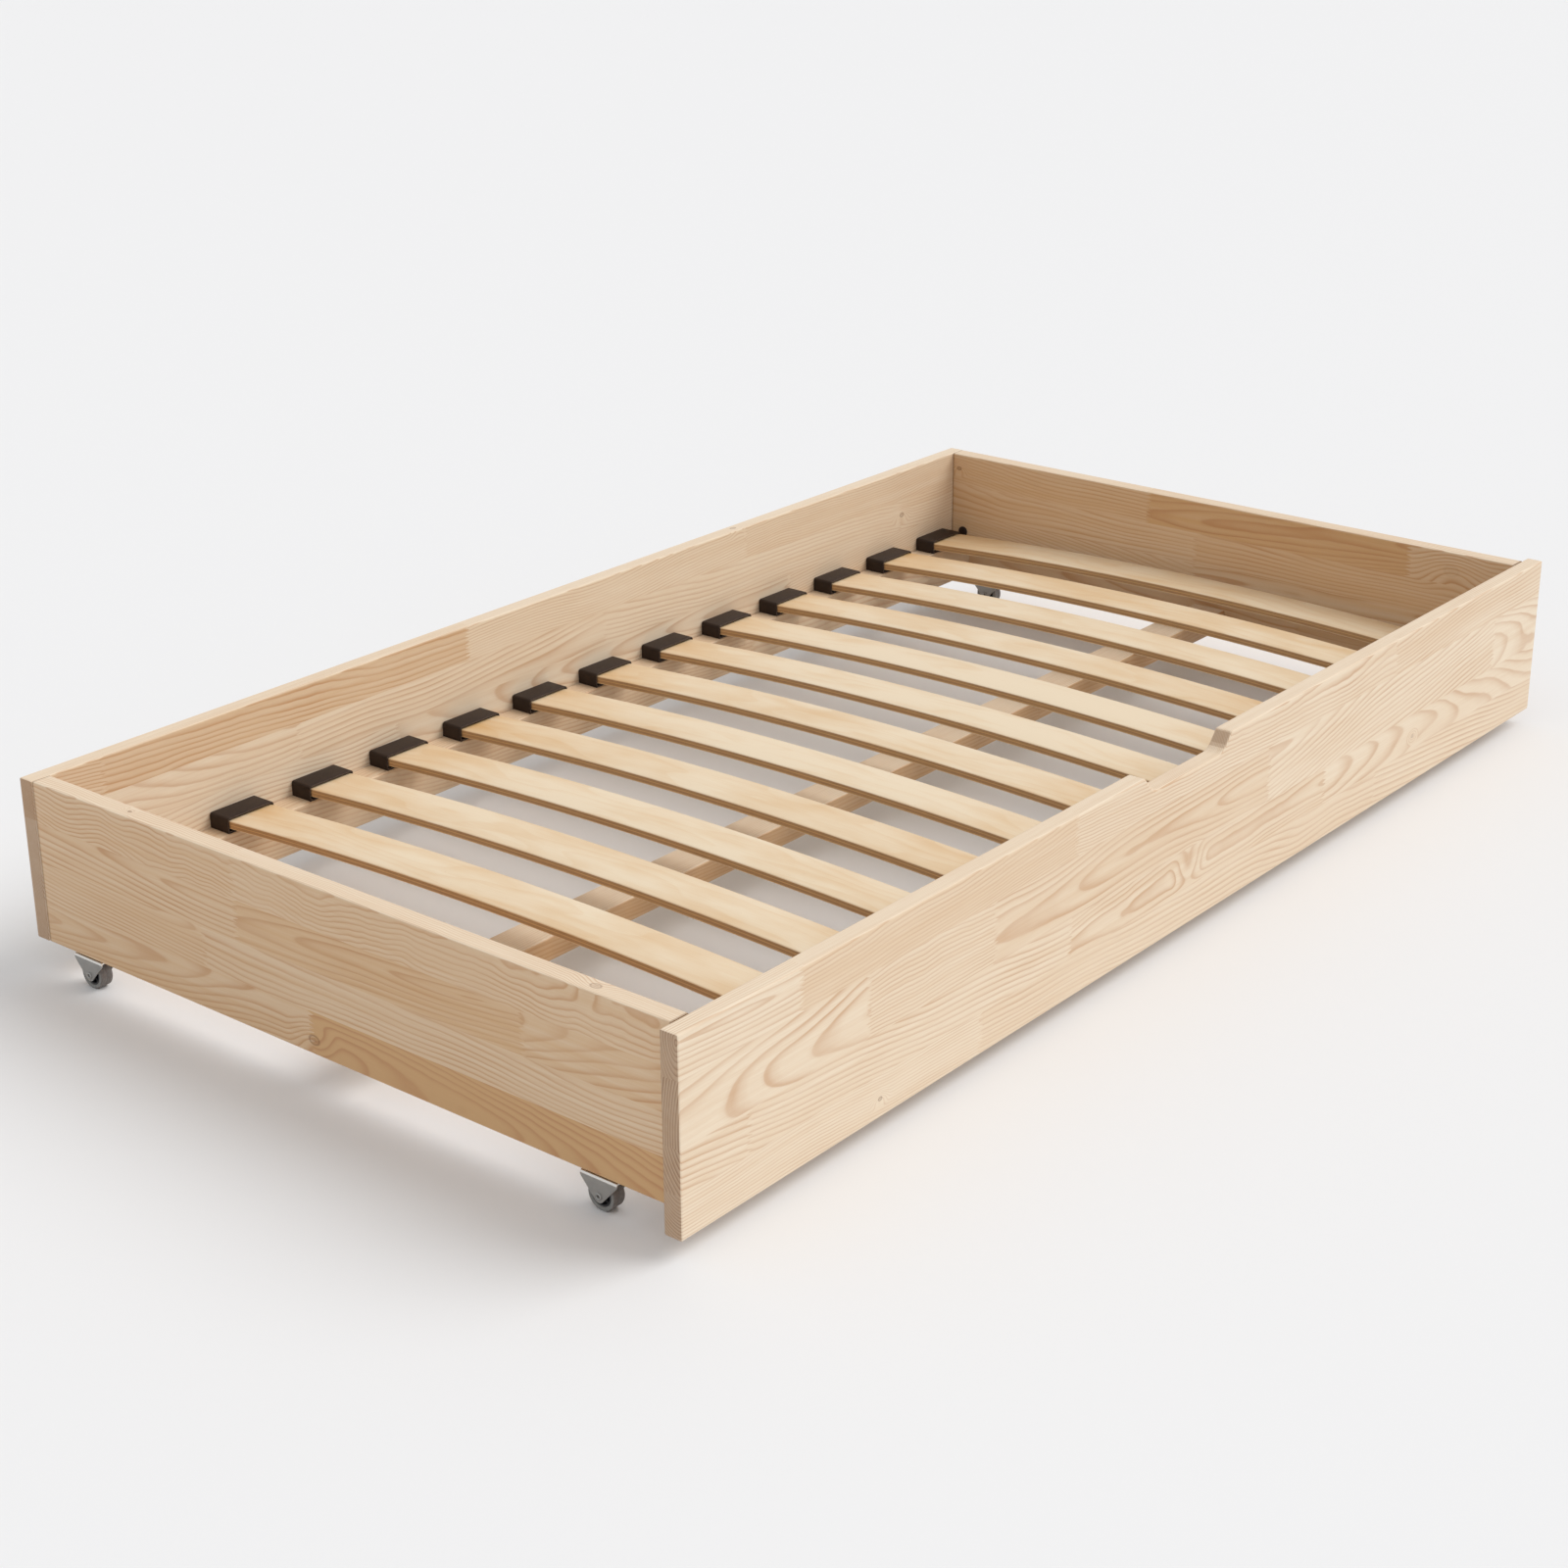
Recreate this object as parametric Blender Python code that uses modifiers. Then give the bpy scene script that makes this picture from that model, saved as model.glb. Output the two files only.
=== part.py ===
"""Trundle bed: a shallow pine box on four fixed castors, with a sprung slat base.

Metres, +Z up. +X runs along the bed's length and the front board faces -Y. The origin is on the
floor, under the middle of the box.
"""

import math

import bmesh
import bpy
from mathutils import Matrix

# Driving dimensions
LENGTH = 1.900  # the front board, end to end
WIDTH = 1.038  # over the outer faces of the front and back boards
RIM_Z = 0.249  # the top edges of all four boards, above the floor
FRONT_HEIGHT = 0.227
BOX_HEIGHT = 0.206  # the back board and the end boards
SIDE_THICKNESS = 0.023  # the front and back boards
END_THICKNESS = 0.026
END_INSET = 0.018  # from the front board's ends to the end boards' outer faces
BACK_INSET = 0.017  # from the front board's ends to the back board's ends
ARRIS = 0.002  # rounding of the boards' edges
GAP = 0.0003  # clearance between touching pieces

# Hand-hold notch in the front board's rim
NOTCH_X = -0.022
NOTCH_HALF_WIDTH = 0.101
NOTCH_DEPTH = 0.023
NOTCH_SLOPE = math.radians(50)
NOTCH_TOP_RADIUS = 0.006
NOTCH_FLOOR_RADIUS = 0.024

# Slat base
LEDGER_WIDTH = 0.036
LEDGER_HEIGHT = 0.060
LEDGER_TOP = 0.1065
BATTEN_RADIUS = 0.0015  # rounding of the ledgers' and the beam's edges
BEAM_WIDTH = 0.055
BEAM_HEIGHT = 0.030
BEAM_TOP = 0.084
SLAT_COUNT = 12
SLAT_PITCH = 0.135
FIRST_SLAT_X = -0.642
SLAT_WIDTH = 0.070
SLAT_THICKNESS = 0.011
SLAT_LENGTH = 0.984
SLAT_END_TOP = 0.1215  # the top face at the slat's ends
SLAT_CROWN = 0.018  # rise of the middle over the ends
SLAT_ARRIS = 0.001
SLAT_STEPS = 12

# Slat cap: a moulded sleeve with a peg that stands in the ledger
CAP_WIDTH = 0.075
CAP_HEIGHT = 0.0205
CAP_DEPTH = 0.035
CAP_WALL = 0.002
CAP_FLOOR = 0.0028
CAP_STEP = 0.0034  # the floor's rear half, which the slat's end rests on
CAP_RADIUS = 0.0035
PEG_RADIUS = 0.004
PEG_LENGTH = 0.0145

# Castor
WHEEL_RADIUS = 0.018
WHEEL_WIDTH = 0.0175
TYRE_SHOULDER = 0.0015  # how far down the tyre's side its rounding starts
TYRE_EDGE = 0.0018  # how far in from the side its tread starts
HUB_RADIUS = 0.0126
HUB_RIM = 0.0079  # the rim's half width
HUB_RIM_THICKNESS = 0.0018
HUB_WEB = 0.0050  # the web's half thickness
HUB_BOSS = 0.0094  # the boss's half length
BOSS_RADIUS = 0.0052
BORE_RADIUS = 0.0028
AXLE_RADIUS = 0.0024
AXLE_HEAD_RADIUS = 0.0042
AXLE_HEAD = 0.0012
FORK_WIDTH = 0.050  # along Y, at the top
FORK_DEPTH = 0.024  # along X, over both cheeks
FORK_SHEET = 0.002
FORK_BEND = 0.003
FORK_SHOULDER = 0.005  # the upright part of a cheek's edge
CHEEK_RADIUS = 0.0072
PAD_HEIGHT = 0.002  # the raised pad on the fork's top plate, which meets the board
PAD_INSET = 0.004
CASTOR_Y = {"front": -0.391, "back": 0.427}
AXLE_STEPS = 16
TURN_STEPS = 20
HIDDEN_STEPS = 10
SMOOTH_ANGLE = math.radians(35)
OVERLAP = 0.001  # how far a cutter or a joined shape reaches past a face

# Derived planes
SIDE_INNER = WIDTH / 2 - SIDE_THICKNESS
END_OUTER = LENGTH / 2 - END_INSET
END_INNER = END_OUTER - END_THICKNESS
END_MIDDLE = (END_OUTER + END_INNER) / 2
BOX_BOTTOM = RIM_Z - BOX_HEIGHT
ENDS = {"left": -1, "right": 1}
SIDES = {"front": -1, "back": 1}

# Rotations that lay a shape's own Z along the named axis
ALONG = {
    "X": Matrix(((0, 0, 1), (1, 0, 0), (0, 1, 0))).to_4x4(),
    "Y": Matrix.Rotation(math.pi / 2, 4, "X"),
    "Z": Matrix.Identity(4),
}


def clear_scene():
    for obj in list(bpy.data.objects):
        bpy.data.objects.remove(obj, do_unlink=True)


def new_collection(name):
    collection = bpy.data.collections.new(name)
    bpy.context.scene.collection.children.link(collection)
    return collection


def new_material(name, colour, roughness, metallic=0.0):
    material = bpy.data.materials.new(name)
    material.use_nodes = True
    shader = material.node_tree.nodes["Principled BSDF"]
    shader.inputs["Base Color"].default_value = (*colour, 1)
    shader.inputs["Roughness"].default_value = roughness
    shader.inputs["Metallic"].default_value = metallic
    return material


def tidy(mesh, smooth_angle=None):
    """Welds the mesh, joins its flat faces and points them outwards."""
    shape = bmesh.new()
    shape.from_mesh(mesh)
    bmesh.ops.remove_doubles(shape, verts=shape.verts, dist=1e-6)
    bmesh.ops.dissolve_limit(
        shape, angle_limit=math.radians(0.5), verts=shape.verts, edges=shape.edges
    )
    bmesh.ops.recalc_face_normals(shape, faces=shape.faces)
    shape.to_mesh(mesh)
    shape.free()
    if smooth_angle:
        mesh.shade_smooth()
        mesh.set_sharp_from_angle(angle=smooth_angle)
    return mesh


def baked(obj, helpers=(), smooth_angle=None):
    """The object's mesh with its modifiers applied. The object and its helpers are removed."""
    scene = bpy.context.scene.collection
    for used in (obj, *helpers):
        scene.objects.link(used)
    graph = bpy.context.evaluated_depsgraph_get()
    mesh = bpy.data.meshes.new_from_object(obj.evaluated_get(graph))
    for used in (obj, *helpers):
        bpy.data.objects.remove(used)
    return tidy(mesh, smooth_angle)


def arc(centre, radius, start, end, steps):
    """Points on an arc, both ends included. Angles are in radians."""
    angles = [start + (end - start) * step / steps for step in range(steps + 1)]
    return [
        (centre[0] + radius * math.cos(a), centre[1] + radius * math.sin(a)) for a in angles
    ]


def rounded_rectangle(width, height, radius, steps=2):
    """A rounded rectangle round the origin, anticlockwise."""
    points = []
    for turn, (side, up) in enumerate(((1, 1), (-1, 1), (-1, -1), (1, -1))):
        centre = (side * (width / 2 - radius), up * (height / 2 - radius))
        start = turn * math.pi / 2
        points += arc(centre, radius, start, start + math.pi / 2, steps)
    return points


def extrusion(outline, depth, axis):
    """Mesh of a flat outline, drawn in the plane across axis, and depth thick along it."""
    curve = bpy.data.curves.new("outline", "CURVE")
    curve.dimensions = "2D"
    curve.fill_mode = "BOTH"
    curve.extrude = depth / 2
    spline = curve.splines.new("POLY")
    spline.points.add(len(outline) - 1)
    for point, (u, v) in zip(spline.points, outline):
        point.co = (u, v, 0, 1)
    spline.use_cyclic_u = True
    mesh = baked(bpy.data.objects.new("outline", curve))
    bpy.data.curves.remove(curve)
    mesh.transform(ALONG[axis])
    return mesh


def cylinder(radius, length, axis, centre=(0, 0, 0)):
    shape = bmesh.new()
    bmesh.ops.create_cone(
        shape,
        cap_ends=True,
        segments=HIDDEN_STEPS,
        radius1=radius,
        radius2=radius,
        depth=length,
        matrix=Matrix.Translation(centre) @ ALONG[axis],
    )
    mesh = bpy.data.meshes.new("cylinder")
    shape.to_mesh(mesh)
    shape.free()
    return mesh


def turned(profile, steps=TURN_STEPS):
    """Mesh of a closed (radius, x) profile turned about the X axis."""
    mesh = bpy.data.meshes.new("profile")
    count = len(profile)
    points = [(x, 0, -radius) for radius, x in profile]
    mesh.from_pydata(points, [(i, (i + 1) % count) for i in range(count)], [])
    obj = bpy.data.objects.new("profile", mesh)
    screw = obj.modifiers.new("turn", "SCREW")
    screw.axis = "X"
    screw.steps = screw.render_steps = steps
    screw.use_merge_vertices = True
    screw.merge_threshold = 0.00001
    return baked(obj, smooth_angle=SMOOTH_ANGLE)


def helper(mesh, name="cutter"):
    """A hidden object that a Boolean reads."""
    obj = bpy.data.objects.new(name, mesh)
    obj.hide_render = True
    obj.display_type = "WIRE"
    return obj


def boolean(obj, other, operation):
    modifier = obj.modifiers.new(operation.lower(), "BOOLEAN")
    modifier.operation = operation
    modifier.solver = "EXACT"
    modifier.object = other


def bevel(obj, width, segments):
    modifier = obj.modifiers.new("arris", "BEVEL")
    modifier.width = width
    modifier.segments = segments
    modifier.limit_method = "ANGLE"
    modifier.angle_limit = math.radians(60)


def place(name, mesh, material, location=(0, 0, 0), turn=0.0, parent=None):
    """Adds one named piece of the bed."""
    if not mesh.materials:
        mesh.materials.append(material)
    obj = bpy.data.objects.new(name, mesh)
    obj.location = location
    obj.rotation_euler.z = turn
    obj.parent = parent
    PARTS.objects.link(obj)
    return obj


def castors():
    """Each castor's name and the middle of its axle."""
    return [
        (f"{side}_{end}", (ENDS[end] * END_MIDDLE, CASTOR_Y[side], WHEEL_RADIUS))
        for side in SIDES
        for end in ENDS
    ]


def notch_edge():
    """The notch's right-hand edge, from the rim down to its floor, as seen from the front."""
    slope = NOTCH_SLOPE
    both_radii = NOTCH_TOP_RADIUS + NOTCH_FLOOR_RADIUS
    straight_drop = NOTCH_DEPTH - both_radii * (1 - math.cos(slope))
    run = both_radii * math.sin(slope) + straight_drop / math.tan(slope)
    top_centre = (NOTCH_HALF_WIDTH, RIM_Z - NOTCH_TOP_RADIUS)
    floor_centre = (NOTCH_HALF_WIDTH - run, RIM_Z - NOTCH_DEPTH + NOTCH_FLOOR_RADIUS)
    up, down = math.pi / 2, -math.pi / 2
    return arc(top_centre, NOTCH_TOP_RADIUS, up, up + slope, 3) + arc(
        floor_centre, NOTCH_FLOOR_RADIUS, down + slope, down, 4
    )


def make_front_board():
    edge = notch_edge()
    outline = [
        (-LENGTH / 2, RIM_Z - FRONT_HEIGHT),
        (LENGTH / 2, RIM_Z - FRONT_HEIGHT),
        (LENGTH / 2, RIM_Z),
        *[(NOTCH_X + x, z) for x, z in edge],
        *[(NOTCH_X - x, z) for x, z in reversed(edge)],
        (-LENGTH / 2, RIM_Z),
    ]
    mesh = extrusion(outline, SIDE_THICKNESS, "Y")
    y = -(SIDE_INNER + SIDE_THICKNESS / 2)
    bevel(place("front_board", mesh, PINE, (0, y, 0)), ARRIS, 2)


def make_back_board():
    length = LENGTH - 2 * BACK_INSET
    half, top = length / 2, BOX_HEIGHT / 2
    outline = [(-half, -top), (half, -top), (half, top), (-half, top)]
    mesh = extrusion(outline, SIDE_THICKNESS, "Y")
    centre = (0, SIDE_INNER + SIDE_THICKNESS / 2, RIM_Z - BOX_HEIGHT / 2)
    bevel(place("back_board", mesh, PINE, centre), ARRIS, 2)


def make_end_board(name, end):
    outline = rounded_rectangle(END_THICKNESS, BOX_HEIGHT, ARRIS)
    mesh = extrusion(outline, 2 * (SIDE_INNER - GAP), "Y")
    place(f"end_board_{name}", mesh, PINE, (end * END_MIDDLE, 0, RIM_Z - BOX_HEIGHT / 2))


def make_ledger(name, side):
    """A batten along a side board, with a hole under each slat cap for the cap's peg."""
    outline = rounded_rectangle(LEDGER_WIDTH, LEDGER_HEIGHT, BATTEN_RADIUS, 1)
    mesh = extrusion(outline, 2 * (END_INNER - GAP), "X")
    y = side * (SIDE_INNER - GAP - LEDGER_WIDTH / 2)
    middle_z = LEDGER_TOP - LEDGER_HEIGHT / 2
    ledger = place(f"ledger_{name}", mesh, PINE, (0, y, middle_z))
    peg_y = side * (SIDE_INNER - GAP - CAP_DEPTH / 2)
    for x in slat_places():
        hole = cylinder(PEG_RADIUS + GAP, 2 * (PEG_LENGTH + GAP), "Z")
        cutter = helper(hole, f"peg_hole_{name}")
        cutter.location = (x, peg_y, LEDGER_TOP)
        CUTTERS.objects.link(cutter)
        boolean(ledger, cutter, "DIFFERENCE")


def make_centre_beam():
    outline = rounded_rectangle(BEAM_WIDTH, BEAM_HEIGHT, BATTEN_RADIUS, 1)
    mesh = extrusion(outline, 2 * (END_INNER - GAP), "X")
    place("centre_beam", mesh, PINE, (0, 0, BEAM_TOP - BEAM_HEIGHT / 2))


def slat_places():
    return [FIRST_SLAT_X + SLAT_PITCH * index for index in range(SLAT_COUNT)]


def slat_mesh():
    """A strip bent to a shallow arch across the bed, highest over the centre beam."""
    stations = [2 * step / SLAT_STEPS - 1 for step in range(SLAT_STEPS + 1)]
    top = [(SLAT_LENGTH / 2 * s, SLAT_END_TOP + SLAT_CROWN * (1 - s * s)) for s in stations]
    bottom = [(y, z - SLAT_THICKNESS) for y, z in reversed(top)]
    strip = bpy.data.objects.new("strip", extrusion(top + bottom, SLAT_WIDTH, "X"))
    bevel(strip, SLAT_ARRIS, 1)
    return baked(strip)


def cap_mesh():
    """A sleeve that is open towards -Y, with a peg under its floor at z = 0."""
    left, right = -CAP_WIDTH / 2, CAP_WIDTH / 2
    turn = math.pi / 2
    shoulder = CAP_HEIGHT - CAP_RADIUS
    outline = [
        (left, 0),
        (right, 0),
        *arc((right - CAP_RADIUS, shoulder), CAP_RADIUS, 0, turn, 3),
        *arc((left + CAP_RADIUS, shoulder), CAP_RADIUS, turn, 2 * turn, 3),
    ]
    sleeve = bpy.data.objects.new("sleeve", extrusion(outline, CAP_DEPTH, "Y"))
    mouth = -CAP_DEPTH
    rear = CAP_DEPTH / 2 - CAP_WALL
    ceiling = CAP_HEIGHT - CAP_WALL
    pocket_outline = [
        (mouth, CAP_FLOOR),
        (0, CAP_FLOOR),
        (0, CAP_STEP),
        (rear, CAP_STEP),
        (rear, ceiling),
        (mouth, ceiling),
    ]
    pocket = helper(extrusion(pocket_outline, CAP_WIDTH - 2 * CAP_WALL, "X"))
    length = PEG_LENGTH + OVERLAP
    peg = helper(cylinder(PEG_RADIUS, length, "Z", (0, 0, OVERLAP - length / 2)))
    boolean(sleeve, pocket, "DIFFERENCE")
    boolean(sleeve, peg, "UNION")
    return baked(sleeve, (pocket, peg), SMOOTH_ANGLE)


def make_slats():
    slat, cap = slat_mesh(), cap_mesh()
    cap_y = SIDE_INNER - GAP - CAP_DEPTH / 2
    for number, x in enumerate(slat_places(), 1):
        place(f"slat_{number:02d}", slat, BIRCH, (x, 0, 0))
        for side, sign in SIDES.items():
            turn = 0 if sign > 0 else math.pi
            at = (x, sign * cap_y, LEDGER_TOP + GAP)
            place(f"slat_cap_{side}_{number:02d}", cap, CAP_PLASTIC, at, turn)


def fork_mesh():
    """A bent sheet fork round the axle at its origin, with cheeks that taper to the axle."""
    top = BOX_BOTTOM - GAP - WHEEL_RADIUS - PAD_HEIGHT
    bottom = -2 * CHEEK_RADIUS
    outer, inner = FORK_DEPTH / 2, FORK_DEPTH / 2 - FORK_SHEET
    bend = outer - FORK_BEND
    quarter = math.pi / 2
    inner_bend = FORK_BEND - FORK_SHEET
    section = [
        (outer, bottom),
        *arc((bend, top - FORK_BEND), FORK_BEND, 0, quarter, 3),
        *arc((-bend, top - FORK_BEND), FORK_BEND, quarter, 2 * quarter, 3),
        (-outer, bottom),
        (-inner, bottom),
        *arc((-bend, top - FORK_BEND), inner_bend, 2 * quarter, quarter, 2),
        *arc((bend, top - FORK_BEND), inner_bend, quarter, 0, 2),
        (inner, bottom),
    ]
    fork = bpy.data.objects.new("fork", extrusion(section, FORK_WIDTH + 2 * OVERLAP, "Y"))

    half = FORK_WIDTH / 2
    shoulder = top - FORK_SHOULDER
    reach = math.hypot(half, shoulder)
    tangent = math.atan2(shoulder, half) - math.acos(CHEEK_RADIUS / reach)
    cheek = [
        (half, top + OVERLAP),
        (half, shoulder),
        *arc((0, 0), CHEEK_RADIUS, tangent, -math.pi - tangent, 8),
        (-half, shoulder),
        (-half, top + OVERLAP),
    ]
    taper = helper(extrusion(cheek, FORK_DEPTH + 2 * OVERLAP, "X"))
    boolean(fork, taper, "INTERSECT")

    pad_outline = rounded_rectangle(FORK_DEPTH - 2 * PAD_INSET, FORK_WIDTH - 2 * PAD_INSET, ARRIS)
    pad = helper(extrusion(pad_outline, PAD_HEIGHT + OVERLAP, "Z"))
    pad.location.z = top + (PAD_HEIGHT - OVERLAP) / 2
    boolean(fork, pad, "UNION")

    axle_hole = helper(cylinder(AXLE_RADIUS + GAP, 2 * FORK_DEPTH, "X"))
    boolean(fork, axle_hole, "DIFFERENCE")
    return baked(fork, (taper, pad, axle_hole), SMOOTH_ANGLE)


def mirrored(half_profile):
    """A (radius, x) profile closed by its mirror image across x = 0."""
    return half_profile + [(radius, -x) for radius, x in reversed(half_profile)]


def tyre_mesh():
    side = WHEEL_WIDTH / 2
    inside = HUB_RADIUS + GAP
    return turned(
        mirrored(
            [
                (inside, side),
                (WHEEL_RADIUS - TYRE_SHOULDER, side),
                (WHEEL_RADIUS - TYRE_SHOULDER / 4, side - TYRE_EDGE / 3),
                (WHEEL_RADIUS, side - TYRE_EDGE),
            ]
        )
    )


def hub_mesh():
    inner_rim = HUB_RADIUS - HUB_RIM_THICKNESS
    return turned(
        mirrored(
            [
                (BORE_RADIUS, HUB_BOSS),
                (BOSS_RADIUS, HUB_BOSS),
                (BOSS_RADIUS, HUB_WEB),
                (inner_rim, HUB_WEB),
                (inner_rim, HUB_RIM),
                (HUB_RADIUS, HUB_RIM),
            ]
        )
    )


def axle_mesh():
    """A riveted pin, with a dished head outside each cheek."""
    neck = FORK_DEPTH / 2 + GAP
    face = neck + AXLE_HEAD
    return turned(
        mirrored(
            [
                (0, face - AXLE_HEAD / 2),
                (AXLE_HEAD_RADIUS * 0.5, face),
                (AXLE_HEAD_RADIUS * 0.8, face),
                (AXLE_HEAD_RADIUS, neck + AXLE_HEAD / 3),
                (AXLE_HEAD_RADIUS, neck),
                (AXLE_RADIUS, neck),
            ]
        ),
        AXLE_STEPS,
    )


def make_castors():
    fork, axle, tyre, hub = fork_mesh(), axle_mesh(), tyre_mesh(), hub_mesh()
    for name, centre in castors():
        axis = bpy.data.objects.new(f"castor_{name}", None)
        axis.location = centre
        PARTS.objects.link(axis)
        place(f"castor_fork_{name}", fork, ZINC, parent=axis)
        place(f"castor_axle_{name}", axle, ZINC, parent=axis)
        place(f"castor_tyre_{name}", tyre, TYRE, parent=axis)
        place(f"castor_hub_{name}", hub, HUB, parent=axis)


clear_scene()
PARTS = new_collection("trundle_bed")
CUTTERS = new_collection("trundle_bed_cutters")
PINE = new_material("pine", (0.74, 0.55, 0.36), 0.50)
BIRCH = new_material("birch", (0.82, 0.66, 0.43), 0.42)
CAP_PLASTIC = new_material("black_plastic", (0.035, 0.028, 0.025), 0.45)
ZINC = new_material("zinc_plated_steel", (0.56, 0.56, 0.54), 0.38, 1.0)
TYRE = new_material("grey_tyre", (0.19, 0.18, 0.17), 0.60)
HUB = new_material("dark_hub", (0.03, 0.03, 0.035), 0.45)

make_front_board()
make_back_board()
for end_name, end_sign in ENDS.items():
    make_end_board(end_name, end_sign)
for side_name, side_sign in SIDES.items():
    make_ledger(side_name, side_sign)
make_centre_beam()
make_slats()
make_castors()
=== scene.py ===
import math

import bmesh
import bpy
from mathutils import Matrix, Vector


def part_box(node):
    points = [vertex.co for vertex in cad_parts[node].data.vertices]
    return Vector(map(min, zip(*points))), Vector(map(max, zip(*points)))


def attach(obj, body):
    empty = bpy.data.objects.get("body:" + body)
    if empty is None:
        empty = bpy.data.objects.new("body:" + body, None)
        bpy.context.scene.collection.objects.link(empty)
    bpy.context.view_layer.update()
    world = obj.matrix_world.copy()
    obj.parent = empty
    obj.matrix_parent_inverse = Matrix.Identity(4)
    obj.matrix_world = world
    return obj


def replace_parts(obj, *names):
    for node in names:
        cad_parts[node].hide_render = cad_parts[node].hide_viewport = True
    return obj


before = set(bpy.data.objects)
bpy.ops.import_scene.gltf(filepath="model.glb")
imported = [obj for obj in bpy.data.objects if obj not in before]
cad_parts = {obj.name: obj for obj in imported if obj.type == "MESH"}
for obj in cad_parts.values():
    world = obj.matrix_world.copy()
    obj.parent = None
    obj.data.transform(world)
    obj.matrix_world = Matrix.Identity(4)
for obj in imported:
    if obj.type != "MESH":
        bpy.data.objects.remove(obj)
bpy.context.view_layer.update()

BODY = "bed_frame"
SIDES = ("front", "back")
ENDS = ("left", "right")

# Camera
CAMERA_PLACE = (-2.6925, -2.0701, 1.4508)
CAMERA_AZIMUTH = math.radians(50.85)  # from +Y towards +X
CAMERA_DROP = math.radians(22.07)  # below the horizon
CAMERA_ROLL = math.radians(-0.34)
CAMERA_LENS = 63.26
CAMERA_SENSOR = 36

# Wood. Depths are measured down from the rim.
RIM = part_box("front_board")[1][2]
RING_NEAR = 0.0064  # one year's growth at the tree's heart
RING_FALL = 0.024  # how much less it is for each metre from there
RING_SLANT = {"X": 2.2, "Y": 1.3}  # how much closer the rings lie through a board than down its face
FINGER_LENGTH = 0.010
FINGER_PITCH = 0.0055
# How dark the wood is through one year's growth
LATEWOOD = ((0.0, 0.25), (0.08, 0.0), (0.45, 0.04), (0.70, 0.45), (0.86, 1.0), (0.95, 1.0), (1.0, 0.25))

SLAT_THICKNESS = 0.011
SLAT_STEPS = 48
SLAT_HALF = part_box("slat_01")[1][1]  # half a slat's length
SLAT_CORNER = 0.0016
LAMINATION = 0.0022  # thickness of one ply
WARM_SLATS = (0, 3, 5, 8, 10, 11)  # counted from the left end

CAP_HEIGHT = 0.0205
CAP_WALL = 0.002
CAP_FLOOR = 0.0028

# Castors. The axle's middle is the origin of their meshes.
BOX_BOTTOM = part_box("end_board_left")[0][2]
SHOWN_GAP = 0.0003  # clearance between touching pieces
WHEEL_RADIUS = 0.018
WHEEL_WIDTH = 0.0175
HUB_RADIUS = 0.0126
HUB_RIBS = 6
AXLE_RADIUS = 0.0024
AXLE_HEAD = 0.0012
AXLE_HEAD_RADIUS = 0.0042
FORK_WIDTH = 0.050
FORK_DEPTH = 0.024
FORK_SHEET = 0.002
FORK_BEND = 0.003
FORK_SHOULDER = 0.005
FORK_BLEND = 0.0012  # how far the shoulder's corner is rounded off
FORK_COLUMNS = 14
FORK_ARRIS = 0.0003
CHEEK_RADIUS = 0.0072
CHEEK_TIP = 0.0005  # least half width, so that the cheek never ends in a point
PAD_HEIGHT = 0.002
PAD_SIZE = (0.016, 0.042)  # along and across the bed
FORK_TOP = BOX_BOTTOM - SHOWN_GAP - PAD_HEIGHT - WHEEL_RADIUS  # above the axle
SCREW_PLACE = 0.0185  # from the axle, across the bed

COVER_RADIUS = 0.0085
COVER_HEIGHT = 0.0026
COVER_LIP = 0.0013  # where the dome starts
COVER_STEPS = 8
COVER_INSET = 0.023  # from the long board's inner face
COVER_PLACE = 0.119  # over the floor


def srgb(red, green, blue):
    """A colour as seen on a screen, 0 to 255, in the linear values that shaders take."""
    return tuple(
        c / 12.92 if c <= 0.04045 else ((c + 0.055) / 1.055) ** 2.4
        for c in (red / 255, green / 255, blue / 255)
    )


# ---------------------------------------------------------------- shader wiring


class Wire:
    """A number that varies over a surface. Arithmetic on it adds Math nodes."""

    def __init__(self, tree, socket):
        self.tree = tree
        self.socket = socket

    def math(self, operation, *others, clamp=False):
        node = self.tree.nodes.new("ShaderNodeMath")
        node.operation = operation
        node.use_clamp = clamp
        for slot, value in zip(node.inputs, (self, *others)):
            feed(slot, value)
        return Wire(self.tree, node.outputs[0])

    def __add__(self, other):
        return self.math("ADD", other)

    def __sub__(self, other):
        return self.math("SUBTRACT", other)

    def __mul__(self, other):
        return self.math("MULTIPLY", other)

    def __truediv__(self, other):
        return self.math("DIVIDE", other)

    def above(self, level):
        """1 where this is over the level, and 0 elsewhere."""
        return self.math("GREATER_THAN", level)

    def smooth(self, low, high, out_low=0.0, out_high=1.0):
        """Rises smoothly from out_low to out_high as this goes from low to high."""
        node = self.tree.nodes.new("ShaderNodeMapRange")
        node.interpolation_type = "SMOOTHSTEP"
        for slot, value in zip(node.inputs, (self, low, high, out_low, out_high)):
            feed(slot, value)
        return Wire(self.tree, node.outputs[0])


def feed(slot, value):
    if isinstance(value, Wire):
        value.tree.links.new(value.socket, slot)
    else:
        slot.default_value = value


def new_surface(name, roughness, metallic=0.0):
    """A material's tree and its Principled shader."""
    material = bpy.data.materials.new(name)
    material.use_nodes = True
    shader = material.node_tree.nodes["Principled BSDF"]
    shader.inputs["Roughness"].default_value = roughness
    shader.inputs["Metallic"].default_value = metallic
    return material, material.node_tree, shader


def place_in(tree):
    """Wires for X, Y and Z in the bed's own frame, in metres."""
    coordinates = tree.nodes.new("ShaderNodeTexCoord")
    split = tree.nodes.new("ShaderNodeSeparateXYZ")
    tree.links.new(coordinates.outputs["Object"], split.inputs[0])
    return [Wire(tree, output) for output in split.outputs]


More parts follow.
